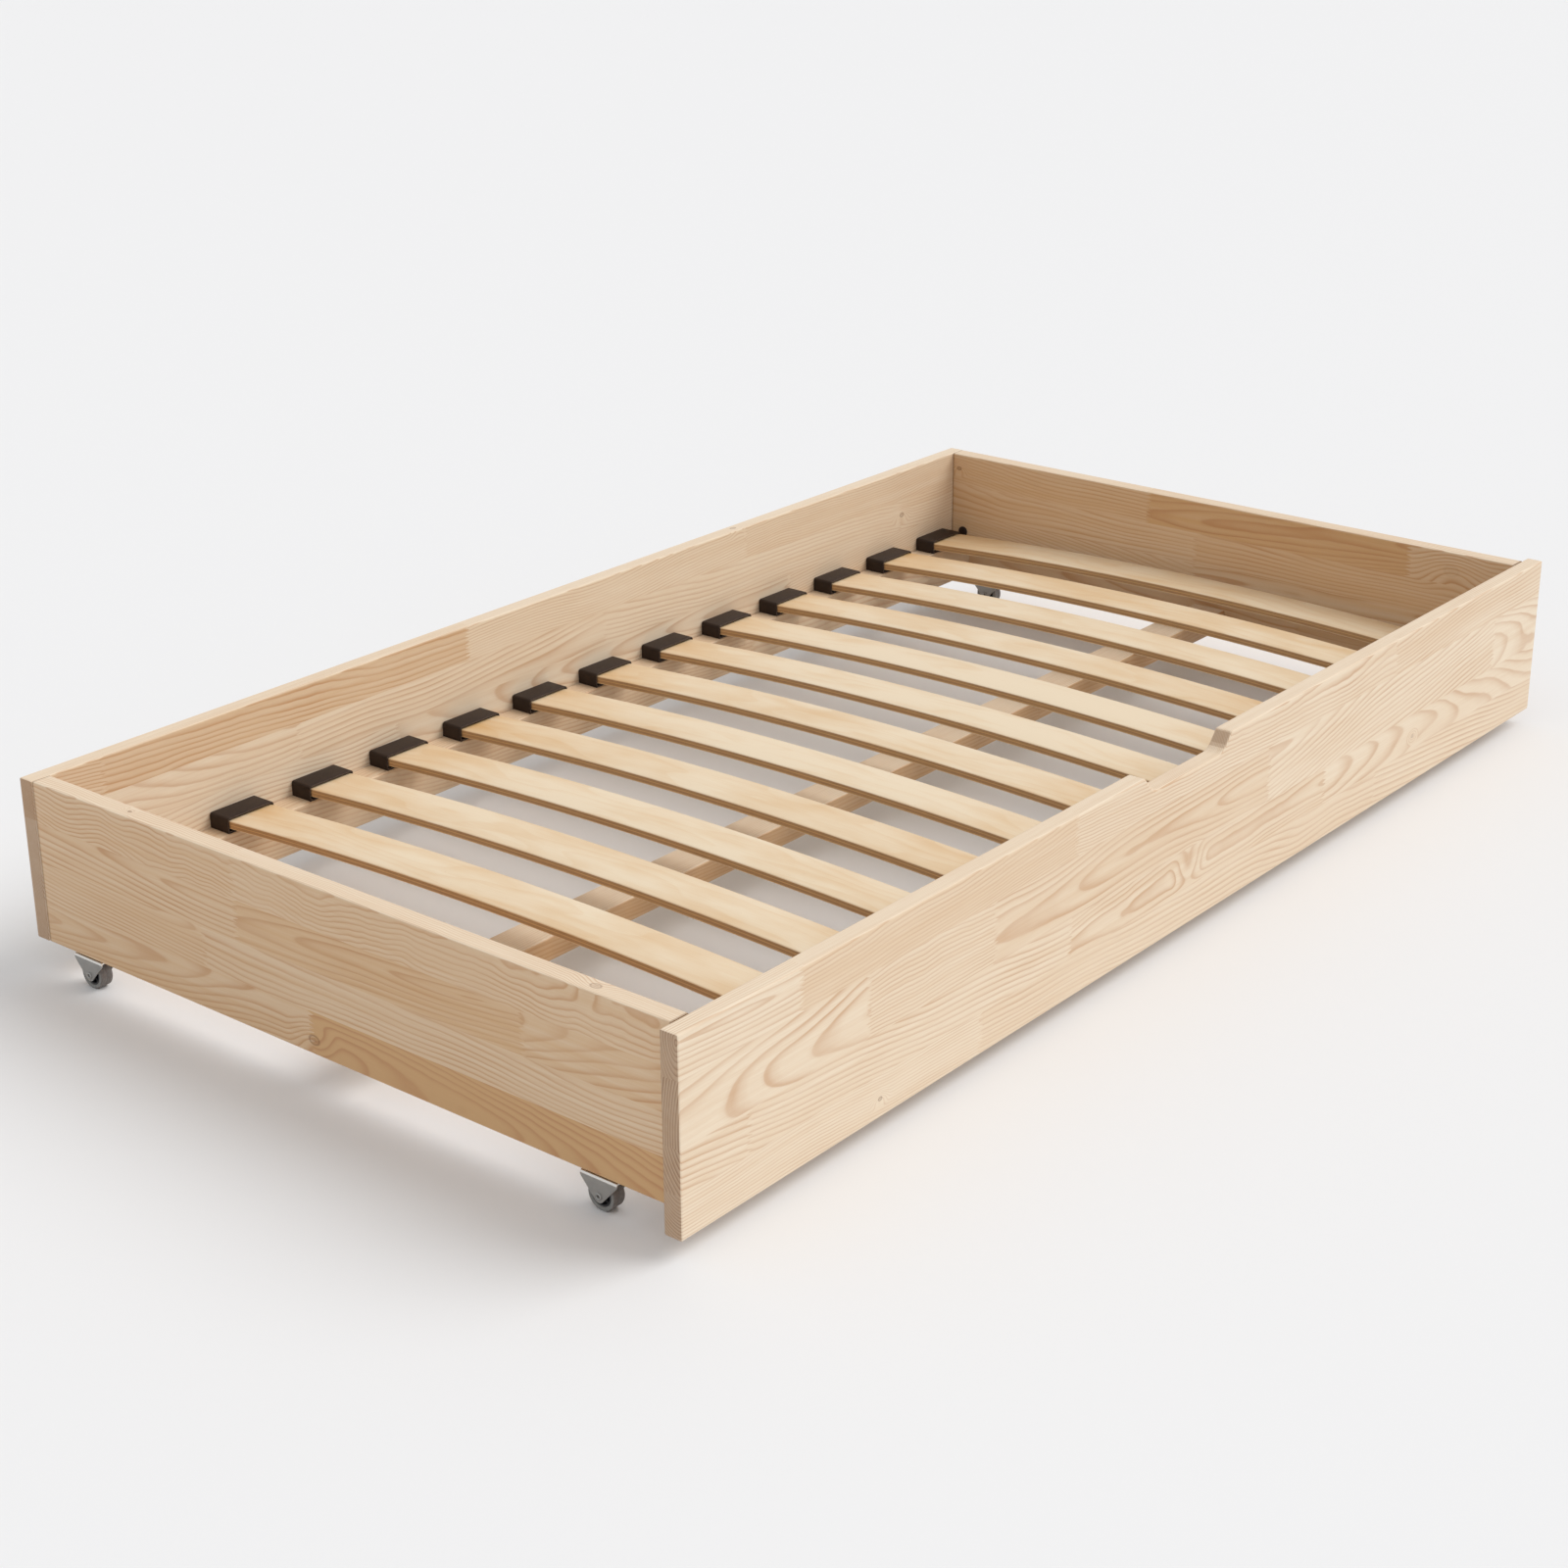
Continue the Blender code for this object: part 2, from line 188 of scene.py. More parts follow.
def vector(tree, x, y, z):
    node = tree.nodes.new("ShaderNodeCombineXYZ")
    for slot, value in zip(node.inputs, (x, y, z)):
        feed(slot, value)
    return Wire(tree, node.outputs[0])


def noise(at, scale=1.0, detail=2.0, roughness=0.5):
    """Noise round 0, from about -0.5 to 0.5."""
    node = at.tree.nodes.new("ShaderNodeTexNoise")
    feed(node.inputs["Vector"], at)
    node.inputs["Scale"].default_value = scale
    node.inputs["Detail"].default_value = detail
    node.inputs["Roughness"].default_value = roughness
    return Wire(at.tree, node.outputs["Fac"]) - 0.5


def chances(number):
    """Three even random numbers from 0 to 1 that depend on the wire's value."""
    node = number.tree.nodes.new("ShaderNodeTexWhiteNoise")
    node.noise_dimensions = "1D"
    feed(node.inputs["W"], number)
    split = number.tree.nodes.new("ShaderNodeSeparateColor")
    number.tree.links.new(node.outputs["Color"], split.inputs[0])
    return [Wire(number.tree, output) for output in split.outputs]


def mixed(factor, first, second):
    """A colour wire between two colours."""
    node = factor.tree.nodes.new("ShaderNodeMix")
    node.data_type = "RGBA"
    colour_slots = [slot for slot in node.inputs if slot.type == "RGBA"]
    feed(node.inputs[0], factor)
    for slot, value in zip(colour_slots, (first, second)):
        feed(slot, value if isinstance(value, Wire) else (*value, 1))
    return Wire(factor.tree, next(out for out in node.outputs if out.type == "RGBA"))


def ramp(value, stops):
    """A number that follows the (position, level) stops."""
    node = value.tree.nodes.new("ShaderNodeValToRGB")
    elements = node.color_ramp.elements
    elements.remove(elements[1])
    for index, (position, level) in enumerate(stops):
        element = elements[0] if index == 0 else elements.new(position)
        element.position = position
        element.color = (level, level, level, 1)
    feed(node.inputs[0], value)
    return Wire(value.tree, node.outputs["Color"])


def bump(shader, height, distance, strength=1.0):
    node = height.tree.nodes.new("ShaderNodeBump")
    node.inputs["Distance"].default_value = distance
    node.inputs["Strength"].default_value = strength
    feed(node.inputs["Height"], height)
    height.tree.links.new(node.outputs["Normal"], shader.inputs["Normal"])


# ---------------------------------------------------------------- pine


PINE_PALE = srgb(236, 219, 195)
PINE_WARM = srgb(208, 168, 121)
PINE_LINE = srgb(194, 146, 102)
PINE_END = srgb(150, 108, 72)
PINE_PORE = srgb(128, 92, 62)
KNOT_BROWN = srgb(120, 76, 44)

# Boards of finger-jointed staves. The grain runs along "along". Each row is the depth of its lower
# glue line under the rim, and its staves: (start along the board, heartwood share, distance of the
# stave's middle from the tree's heart in metres, curl). Near the heart the grain makes arches, far
# from it fine lines. A knot is its place along the board, its depth, its side (-1 the front or left
# face, 1 the other, 0 the middle), its radius and its darkness. The seed picks a board's own grain.
# The last key, where a board has it, is the heartwood share added on the board's two long sides: painted
# shade for sides that the slats keep out of the light.
START = -1.0
BOARDS = {
    "front_board": {
        "along": "X",
        "rows": (
            (0.050, (
                (START, 0.05, 0.01, 0.0), (-0.756, 0.30, 0.11, 0.1),
                (-0.257, 0.10, 0.10, 0.1), (0.512, 0.15, 0.03, 0.0),
            )),
            (0.125, (
                (START, 0.05, 0.01, 0.0), (-0.644, 0.10, 0.10, 0.2), (-0.415, 0.20, 0.01, 0.0),
                (0.180, 0.05, 0.00, 0.0), (0.814, 0.0, 0.06, 0.2),
            )),
            (0.176, (
                (START, 0.10, 0.01, 0.0), (-0.840, 0.05, 0.02, 0.0),
                (-0.265, 0.15, 0.00, 0.2), (0.330, 0.05, 0.04, 0.0),
            )),
            (0.260, ((START, 0.00, 0.09, 0.1), (-0.441, 0.12, 0.10, 0.0), (0.474, 0.05, 0.01, 0.0))),
        ),
        "knots": (
            (-0.010, 0.146, -1, 0.005, 0.0),
            (-0.629, 0.2045, -1, 0.002, 0.7),
            (0.573, 0.157, -1, 0.002, 0.5),
        ),
        "seed": 4.0,
    },
    "back_board": {
        "along": "X",
        "rows": (
            (0.049, (
                (START, 0.35, 0.06, 0.0), (-0.826, 0.42, 0.08, 0.1),
                (-0.214, 0.05, 0.09, 0.0), (0.376, 0.15, 0.10, 0.2),
            )),
            (0.100, (
                (START, 0.05, 0.09, 0.0), (-0.520, 0.05, 0.01, 0.0),
                (0.060, 0.00, 0.04, 0.1), (0.766, 0.10, 0.08, 0.0),
            )),
            (0.152, ((START, 0.00, 0.10, 0.0), (-0.350, 0.05, 0.02, 0.0), (0.480, 0.15, 0.07, 0.0))),
            (0.260, ((START, 0.05, 0.06, 0.0), (-0.100, 0.05, 0.05, 0.0))),
        ),
        "knots": ((0.766, 0.073, -1, 0.003, 0.7), (0.355, 0.0, 0, 0.003, 0.6)),
        "seed": 11.0,
    },
    # Its high heartwood shares darken the whole board: painted shade for its outer face, which turns away
    # from the light.
    "end_board_left": {
        "along": "Y",
        "rows": (
            (0.052, ((START, 0.56, 0.05, 0.8), (0.150, 0.60, 0.06, 0.8))),
            (0.103, ((START, 0.58, 0.02, 0.0), (-0.288, 0.72, 0.00, 0.0), (0.150, 0.60, 0.01, 0.0))),
            (0.153, ((START, 0.54, 0.04, 0.1), (0.210, 0.58, 0.02, 0.0))),
            (0.260, ((START, 1.20, 0.02, 0.2), (0.036, 0.62, 0.05, 0.0))),
        ),
        "knots": (
            (0.028, 0.188, -1, 0.005, 0.6),
            (0.333, 0.0, 0, 0.0016, 1.0),
            (-0.386, 0.0, 0, 0.004, 0.5),
        ),
        "seed": 21.0,
    },
    # Its high heartwood shares darken the whole board: painted shade for its inner face, which turns away
    # from the light inside the box.
    "end_board_right": {
        "along": "Y",
        "rows": (
            (0.050, ((START, 0.60, 0.02, 0.0), (-0.326, 0.95, 0.01, 0.0), (0.123, 0.65, 0.08, 0.0))),
            (0.100, ((START, 0.70, 0.02, 0.0), (0.036, 0.65, 0.09, 0.0))),
            (0.152, ((START, 0.75, 0.00, 0.0), (0.036, 0.65, 0.10, 0.0))),
            (0.260, ((START, 0.70, 0.04, 0.0), (-0.150, 0.65, 0.07, 0.0))),
        ),
        "knots": ((0.483, 0.024, -1, 0.0025, 0.8), (-0.400, 0.028, -1, 0.007, 0.1)),
        "seed": 33.0,
    },
    "ledger_front": {
        "along": "X",
        "rows": ((0.260, ((START, 0.4, 0.08, 0), (0.100, 0.25, 0.05, 0))),),
        "seed": 40.0,
    },
    "ledger_back": {
        "along": "X",
        "rows": ((0.260, ((START, 0.4, 0.07, 0), (0.350, 0.25, 0.04, 0))),),
        "seed": 43.0,
    },
    "centre_beam": {
        "along": "X",
        "rows": ((0.260, ((START, 0.0, 0.09, 0), (0.400, 0.0, 0.06, 0))),),
        "seed": 47.0,
        "painted_side_shade": 0.8,
    },
}


def stave_masks(along, depth, rows):
    """For each row, a list with one wire per stave: 1 from the stave's start on, 0 elsewhere."""
    fingers = depth.math("PINGPONG", FINGER_PITCH / 2) * (2 * FINGER_LENGTH / FINGER_PITCH)
    masks = []
    upper = None
    for lower_line, staves in rows:
        lower = depth.above(lower_line)
        inside = lower * -1 + 1 if upper is None else upper - lower
        upper = lower
        starts = [(along + fingers).above(stave[0]) for stave in staves[1:]]
        masks.append([inside] + [inside * start for start in starts])
    return masks


def by_stave(masks, rows, value_of):
    """A wire that holds value_of(row number, stave number, stave) on each stave."""
    total = masks[0][0] * 0
    for row, (_, staves) in enumerate(rows):
        before = 0
        for place, stave in enumerate(staves):
            value = value_of(row, place, stave)
            if value != before:
                total = total + masks[row][place] * (value - before)
            before = value
    return total


def row_middle(rows, row):
    return ((rows[row - 1][0] if row else 0) + rows[row][0]) / 2


def ring_field(along, depth, through, inward, number, middle, far, ring, curl):
    """Distance from the tree's heart in years. Each stave has its own heart, slope and ring width."""
    side, back, slope = chances(number)
    lean, phase, width = chances(number + 0.37)
    tree = along.tree
    shift = number * 3.7
    slow = vector(tree, along * 2.2 + shift, depth * 5, through * 5)
    wander = noise(slow, detail=1) * 0.050
    quick = vector(tree, along * 4.5 + shift, depth * 14, through * 14)
    drift = noise(quick, detail=1) * 0.016
    wave = noise(vector(tree, along * 7 + shift, depth * 7, through * 7), detail=1) * curl * 0.060
    ripple = noise(vector(tree, along * 32 + shift, depth * 14, through * 14), detail=1)
    tremble = ripple * (curl * 0.0055 + 0.0008)
    across = depth - middle + far + (side - 0.5) * 0.03 + along * ((slope - 0.5) * 0.20) + wander + wave
    deep = inward + far * 0.6 + (back * 0.018 + 0.020) + along * ((lean - 0.5) * 0.16) + drift
    radius = (across * across + deep * deep).math("SQRT") + tremble
    uneven = noise(vector(tree, radius * 45 + phase * 20, 0, 0), detail=1) * 1.3
    return radius / (ring * (width * 0.4 + 0.8)) + uneven + phase * 5


def knots_on(along, depth, through, board):
    """(how much the rings bulge round the knots, how much of the surface is knot)."""
    bulge = mask = None
    for place, low, side, size, dark in board["knots"]:
        away = ((along - place) * 0.7, depth - low, through - side * board["thickness"] / 2)
        gap = (away[0] * away[0] + away[1] * away[1] + away[2] * away[2]).math("SQRT")
        swell = gap.smooth(0, size * 7, 3.0, 0.0)
        core = gap.smooth(size * 0.4, size * 1.1, dark, 0.0)
        rim = gap.smooth(size * 0.7, size * 1.0, 0.0, dark) * gap.smooth(size * 1.1, size * 1.5, 1.0, 0.0)
        core = (core * 0.6).math("MAXIMUM", rim)
        bulge = swell if bulge is None else bulge + swell
        mask = core if mask is None else mask.math("MAXIMUM", core)
    return bulge, mask


def pine(name, board):
    material, tree, shader = new_surface(name, 0.5)
    shader.inputs["Specular IOR Level"].default_value = 0.35
    x, y, z = place_in(tree)
    along, through = (x, y) if board["along"] == "X" else (y, x)
    depth = z * -1 + RIM
    through = through - board["middle"]
    rows = board["rows"]
    masks = stave_masks(along, depth, rows)
    seed = board["seed"]
    number = by_stave(masks, rows, lambda row, place, stave: seed + 3.1 * row + 0.77 * place)
    heart = by_stave(masks, rows, lambda row, place, stave: stave[1])
    middle = by_stave(masks, rows, lambda row, place, stave: row_middle(rows, row))
    far = by_stave(masks, rows, lambda row, place, stave: stave[2])
    ring = by_stave(masks, rows, lambda row, place, stave: RING_NEAR - RING_FALL * stave[2])
    curl = by_stave(masks, rows, lambda row, place, stave: stave[3])
    half = board["thickness"] / 2
    inward = (through + half) * RING_SLANT[board["along"]] - half
    years = ring_field(along, depth, through, inward, number, middle, far, ring, curl)
    knot = None
    if "knots" in board:
        bulge, knot = knots_on(along, depth, through, board)
        years = years + bulge

    late = ramp(years.math("FRACT"), LATEWOOD)
    tone, _, strength = chances(number + 0.71)
    fibres = noise(vector(tree, along * 26, depth * 900, through * 900), detail=3, roughness=0.6)
    cloud = noise(vector(tree, along * 3 + number, depth * 16, through * 16), detail=2)
    patch = noise(vector(tree, along * 7 + number, depth * 22, through * 22), detail=1)
    bands = noise(vector(tree, along * 1.5 + number, depth * 140, through * 240), detail=2)
    end = end_grain(tree, board["along"])
    # Lighter along the rim's arrises: wear and a painted highlight
    rim_gap = through.math("ABSOLUTE") * -1 + half + depth
    wear_and_highlight = rim_gap.smooth(0.0004, 0.0026, 1.0, 0.0)

    heart = heart * depth.smooth(0.0003, 0.0015, 0.20, 1.0)
    # Painted shade: extra heartwood tone on the two long sides
    if "painted_side_shade" in board:
        heart = through.math("ABSOLUTE").smooth(half - 0.0015, half - 0.0003) * board["painted_side_shade"] + heart
    warmth = (heart + tone * 0.08 + cloud * 0.30 + bands * 0.50).math("MAXIMUM", 0)
    base = mixed(warmth, PINE_PALE, PINE_WARM)
    base = mixed(end * 0.60, base, PINE_END)
    lines = late * (strength * 0.16 + heart * 0.36 + end * 0.15 + 0.36 - far) * (patch * 1.8 + 1)
    grain = mixed(lines, base, mixed(end, PINE_LINE, PINE_PORE))
    streaks = (fibres * 0.45 + 0.03).math("MAXIMUM", 0)
    colour = mixed(streaks, grain, PINE_LINE)
    colour = mixed(wear_and_highlight * 0.30, colour, PINE_PALE)
    if knot:
        colour = mixed(knot * 0.85, colour, KNOT_BROWN)
    if board["along"] == "Y":
        # Painted shade in the corner where an end board meets the long boards
        seam_shade = along.math("ABSOLUTE").smooth(board["reach"] - 0.0032, board["reach"] - 0.0010)
        colour = mixed(seam_shade * 0.55, colour, PINE_PORE)
    feed(shader.inputs["Base Color"], colour)
    feed(shader.inputs["Roughness"], late * -0.06 + fibres * 0.12 + end * 0.12 + 0.50)
    bump(shader, late * 0.25 + fibres, 0.00025, 0.5)
    return material


def end_grain(tree, axis):
    """1 on the faces across the grain, and 0 on the others."""
    coordinates = tree.nodes.new("ShaderNodeTexCoord")
    split = tree.nodes.new("ShaderNodeSeparateXYZ")
    tree.links.new(coordinates.outputs["Normal"], split.inputs[0])
    return Wire(tree, split.outputs[axis]).math("ABSOLUTE").smooth(0.5, 0.9)


def dress_boards():
    for name, board in BOARDS.items():
        low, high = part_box(name)
        axis = 1 if board["along"] == "X" else 0
        board["middle"] = (low[axis] + high[axis]) / 2
        board["thickness"] = high[axis] - low[axis]
        board["reach"] = high[1]
        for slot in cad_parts[name].material_slots:
            slot.material = pine(f"pine_{name}", board)


# ---------------------------------------------------------------- birch slats


BIRCH_PALE = srgb(232, 213, 184)
BIRCH_FIGURE = srgb(212, 170, 114)
BIRCH_EDGE = srgb(160, 118, 82)
BIRCH_GLUE = srgb(128, 88, 54)


def birch(arch, pitch, first):
    """Bent laminate. arch is (height of the crown's top face, how fast it falls with y squared)."""
    material, tree, shader = new_surface("birch", 0.42)
    shader.inputs["Specular IOR Level"].default_value = 0.4
    x, y, z = place_in(tree)
    number = ((x - first) / pitch + 0.5).math("FLOOR")
    tone, _, phase = chances(number + 5.3)
    tone = tone * 0.10
    for warm in WARM_SLATS:
        tone = number.math("COMPARE", warm, 0.5) * 0.16 + tone
    ends = (y.math("ABSOLUTE") / SLAT_HALF).math("POWER", 4) * 0.50
    under = y * y * -arch[1] + arch[0] - z

    # Veneer figure on the flat faces
    field = vector(tree, x * 10 + number * 7.7, y * 2.2, number)
    swirl = noise(field, detail=2, roughness=0.5) * 9 + x * 30
    figure = swirl.math("FRACT").smooth(0.35, 0.95) * swirl.math("FRACT").smooth(0.95, 1.0, 1.0, 0.0)
    fibres = noise(vector(tree, x * 800, y * 14, number), detail=3, roughness=0.6)
    pores = noise(vector(tree, x * 1500, y * 90, number), detail=1).smooth(0.22, 0.30)
    cloud = noise(vector(tree, x * 26, y * 7, number * 3), detail=3, roughness=0.55)
    sheet = noise(vector(tree, x * 5, y * 2.4, number * 3 + 8), detail=1)
    warmth = figure * 0.16 + fibres * 0.4 + cloud * 1.2 + sheet * 1.0 + tone + ends
    warmth = warmth.math("MAXIMUM", 0)
    face = mixed(warmth, BIRCH_PALE, BIRCH_FIGURE)
    face = mixed(pores * 0.30, face, BIRCH_EDGE)

    # Pin knots
    cells = tree.nodes.new("ShaderNodeTexVoronoi")
    feed(cells.inputs["Vector"], vector(tree, x * 8, y * 4.5, number * 2.3))
    cells.inputs["Scale"].default_value = 1.0
    near = Wire(tree, cells.outputs["Distance"])
    face = mixed(near.smooth(0.012, 0.035, 0.75, 0.0), face, KNOT_BROWN)
    face = mixed(near.smooth(0.03, 0.16, 0.25, 0.0), face, BIRCH_FIGURE)

    # Laminations on the long edges
    layer = under / LAMINATION + phase * 0.4
    glue = layer.math("FRACT").math("PINGPONG", 0.5).smooth(0.04, 0.16, 1.0, 0.0)
    veneer = layer.math("FLOOR").math("PINGPONG", 1)
    edge_fibres = noise(vector(tree, x * 200, y * 30, under * 2500), detail=2)
    edge = mixed((veneer * 0.45 + edge_fibres * 0.9 + 0.25).math("MAXIMUM", 0), BIRCH_FIGURE, BIRCH_EDGE)
    edge = mixed(glue * 0.65, edge, BIRCH_GLUE)
    off_base = under.smooth(SLAT_THICKNESS - SLAT_CORNER, SLAT_THICKNESS - 0.0007, 1.0, 0.0)
    inside = under.smooth(0.0007, SLAT_CORNER) * off_base
    feed(shader.inputs["Base Color"], mixed(inside, face, edge))
    feed(shader.inputs["Roughness"], fibres * 0.15 + inside * 0.15 + 0.42)
    bump(shader, fibres + glue * inside * -0.6, 0.00020, 0.4)
    return material


def make_slats():
    names = sorted(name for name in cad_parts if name.startswith("slat_") and "cap" not in name)
    boxes = [[Vector(corner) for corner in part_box(name)] for name in names]
    low, high = boxes[0]
    end_top = low.z + SLAT_THICKNESS
    fall = (high.z - end_top) / high.y**2
    centres = [(box[0].x + box[1].x) / 2 for box in boxes]
    material = birch((high.z, fall), centres[1] - centres[0], centres[0])
    section = rounded_outline(high.x - low.x, SLAT_THICKNESS, (SLAT_CORNER,) * 4, 3)
    for name, middle in zip(names, centres):
        rings = []
        for step in range(SLAT_STEPS + 1):
            y = low.y + (high.y - low.y) * step / SLAT_STEPS
            slope = -2 * fall * y
            normal = Vector((0, -slope, 1)).normalized()
            heart = Vector((middle, y, high.z - fall * y * y)) - normal * SLAT_THICKNESS / 2
            rings.append([heart + Vector((u, 0, 0)) + normal * v for u, v in section])
        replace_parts(piece(f"sprung_{name}", lofted(rings, material, 40), BODY), name)


# ---------------------------------------------------------------- slat caps


PLASTIC_DARK = srgb(36, 24, 18)
PLASTIC_LIGHT = srgb(52, 39, 31)
PLASTIC_WEAR_AND_HIGHLIGHT = srgb(136, 116, 102)


def black_plastic():
    material, tree, shader = new_surface("black_plastic", 0.5)
    at = vector(tree, *place_in(tree))
    grit = noise(at, scale=2600, detail=2)
    cloud = noise(at, scale=60, detail=3)
    # The sharp edges are lighter and glossier: wear and a painted highlight
    wear_and_highlight = edge_mask(tree, 0.0010)
    shader.inputs["Specular IOR Level"].default_value = 0.22
    colour = mixed(cloud * 1.2 + 0.5, PLASTIC_DARK, PLASTIC_LIGHT)
    feed(shader.inputs["Base Color"], mixed(wear_and_highlight * 0.8, colour, PLASTIC_WEAR_AND_HIGHLIGHT))
    feed(shader.inputs["Roughness"], cloud * 0.2 + grit * 0.2 - wear_and_highlight * 0.1 + 0.46)
    bump(shader, grit, 0.00012, 0.5)
    return material


def make_slat_caps(plastic):
    """Moulded sleeves, open towards the middle of the bed, with rounded upper edges.

    Their sections run from the closed back over the outside to the mouth, and into the pocket. Each is
    its distance from the mouth, how far it lies inside the walls and roof, and inside the floor, and
    the radii of its upper and lower corners.
    """
    for name in sorted(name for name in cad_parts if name.startswith("slat_cap_")):
        low, high = (Vector(corner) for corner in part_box(name))
        width, depth = high.x - low.x, high.y - low.y
        into = 1 if low.y > 0 else -1
        mouth = low.y if into > 0 else high.y
        rings = []
        for back, wall, floor, upper, lower in (
            (depth, 0.0008, 0.0008, 0.0030, 0.0006),
            (depth - 0.0008, 0.0, 0.0, 0.0036, 0.0008),
            (0.0006, 0.0, 0.0, 0.0036, 0.0008),
            (0.0, 0.0004, 0.0004, 0.0033, 0.0006),
            (0.0, CAP_WALL - 0.0003, CAP_FLOOR - 0.0003, 0.0019, 0.0006),
            (0.0004, CAP_WALL, CAP_FLOOR, 0.0016, 0.0006),
            (depth - CAP_WALL, CAP_WALL, CAP_FLOOR, 0.0016, 0.0006),
        ):
            radii = (upper, upper, lower, lower)
            outline = rounded_outline(width - 2 * wall, CAP_HEIGHT - wall - floor, radii, 4)
            height = high.z - (CAP_HEIGHT + wall - floor) / 2
            middle = Vector(((low.x + high.x) / 2, mouth + into * back, height))
            rings.append([middle + Vector((u, 0, v)) for u, v in outline])
        sleeve = lofted(rings, plastic, 35)
        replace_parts(piece(f"moulded_{name}", sleeve, BODY), name)


# ---------------------------------------------------------------- castors


ZINC_DARK = srgb(156, 156, 154)
ZINC_LIGHT = srgb(182, 181, 178)
ZINC_WEAR_AND_HIGHLIGHT = srgb(246, 243, 238)
ZINC_SHADE = srgb(62, 60, 58)
TYRE_SIDE = srgb(128, 127, 124)
TYRE_TREAD = srgb(104, 97, 93)
TYRE_DUST = srgb(150, 147, 143)
HUB_DARK = srgb(44, 43, 46)
HUB_DUST = srgb(96, 93, 92)


def zinc():
    """Dull, rolled sheet: fine streaks, faint blotches, a painted highlight on the bends and lighter worn
    edges.
    """
    material, tree, shader = new_surface("zinc_plated_steel", 0.4, 1.0)
    x, y, z = place_in(tree)
    at = vector(tree, x, y, z)
    streaks = noise(vector(tree, x * 2400, y * 260, z * 2400), detail=2)
    blotches = noise(at, scale=150, detail=3)
    scuffs = noise(at, scale=900, detail=2).smooth(0.10, 0.22)
    colour = mixed(blotches * 0.9 + streaks * 0.5 + 0.5, ZINC_DARK, ZINC_LIGHT)
    # Painted highlight along the bends under the top plate, joined with wear on the sharp edges
    bend_highlight = z.smooth(FORK_TOP - 0.0034, FORK_TOP - 0.0024)
    wear_and_highlight = edge_mask(tree, 0.0006).math("MAXIMUM", bend_highlight)
    colour = mixed(wear_and_highlight * 0.8, colour, ZINC_WEAR_AND_HIGHLIGHT)
    # The dimple in a rivet's head is in shade
    pit = (y * y + z * z).math("SQRT").smooth(0.0015, 0.0025, 0.75, 0.0)
    feed(shader.inputs["Base Color"], mixed(pit, colour, ZINC_SHADE))
    feed(shader.inputs["Roughness"], blotches * 0.20 + streaks * 0.15 + scuffs * 0.06 - wear_and_highlight * 0.14 + 0.44)
    bump(shader, streaks + scuffs * 0.5, 0.00003, 0.6)
    return material


def edge_mask(tree, radius):
    """1 close to sharp outer edges, and 0 on flats."""
    rounded = tree.nodes.new("ShaderNodeBevel")
    rounded.samples = 4
    rounded.inputs["Radius"].default_value = radius
    flat = tree.nodes.new("ShaderNodeNewGeometry")
    compare = tree.nodes.new("ShaderNodeVectorMath")
    compare.operation = "DOT_PRODUCT"
    tree.links.new(rounded.outputs[0], compare.inputs[0])
    tree.links.new(flat.outputs["Normal"], compare.inputs[1])
    return Wire(tree, compare.outputs["Value"]).smooth(0.80, 0.995, 1.0, 0.0)


def rubber():
    material, tree, shader = new_surface("grey_tyre", 0.6)
    x, y, z = place_in(tree)
    at = vector(tree, x, y, z)
    dust = noise(at, scale=420, detail=3)
    grit = noise(at, scale=2600, detail=1)
    tread = (y * y + z * z).math("SQRT").smooth(WHEEL_RADIUS - 0.0012, WHEEL_RADIUS - 0.0002)
    colour = mixed(tread, TYRE_SIDE, TYRE_TREAD)
    colour = mixed((dust * 0.9 + 0.1).math("MAXIMUM", 0), colour, TYRE_DUST)
    feed(shader.inputs["Base Color"], colour)
    feed(shader.inputs["Roughness"], dust * 0.2 + tread * 0.14 + 0.50)
    bump(shader, grit + dust, 0.00006, 0.6)
    return material


def hub_plastic():
    material, tree, shader = new_surface("dark_hub", 0.45)
    at = vector(tree, *place_in(tree))
    mottle = noise(at, scale=700, detail=2)
    dust = noise(at, scale=260, detail=3).smooth(0.05, 0.35)
    colour = mixed(dust * 0.4, HUB_DARK, HUB_DUST)
    feed(shader.inputs["Base Color"], colour)
    feed(shader.inputs["Roughness"], mottle * 0.2 + dust * 0.2 + 0.42)
    bump(shader, mottle, 0.00004, 0.6)
    return material


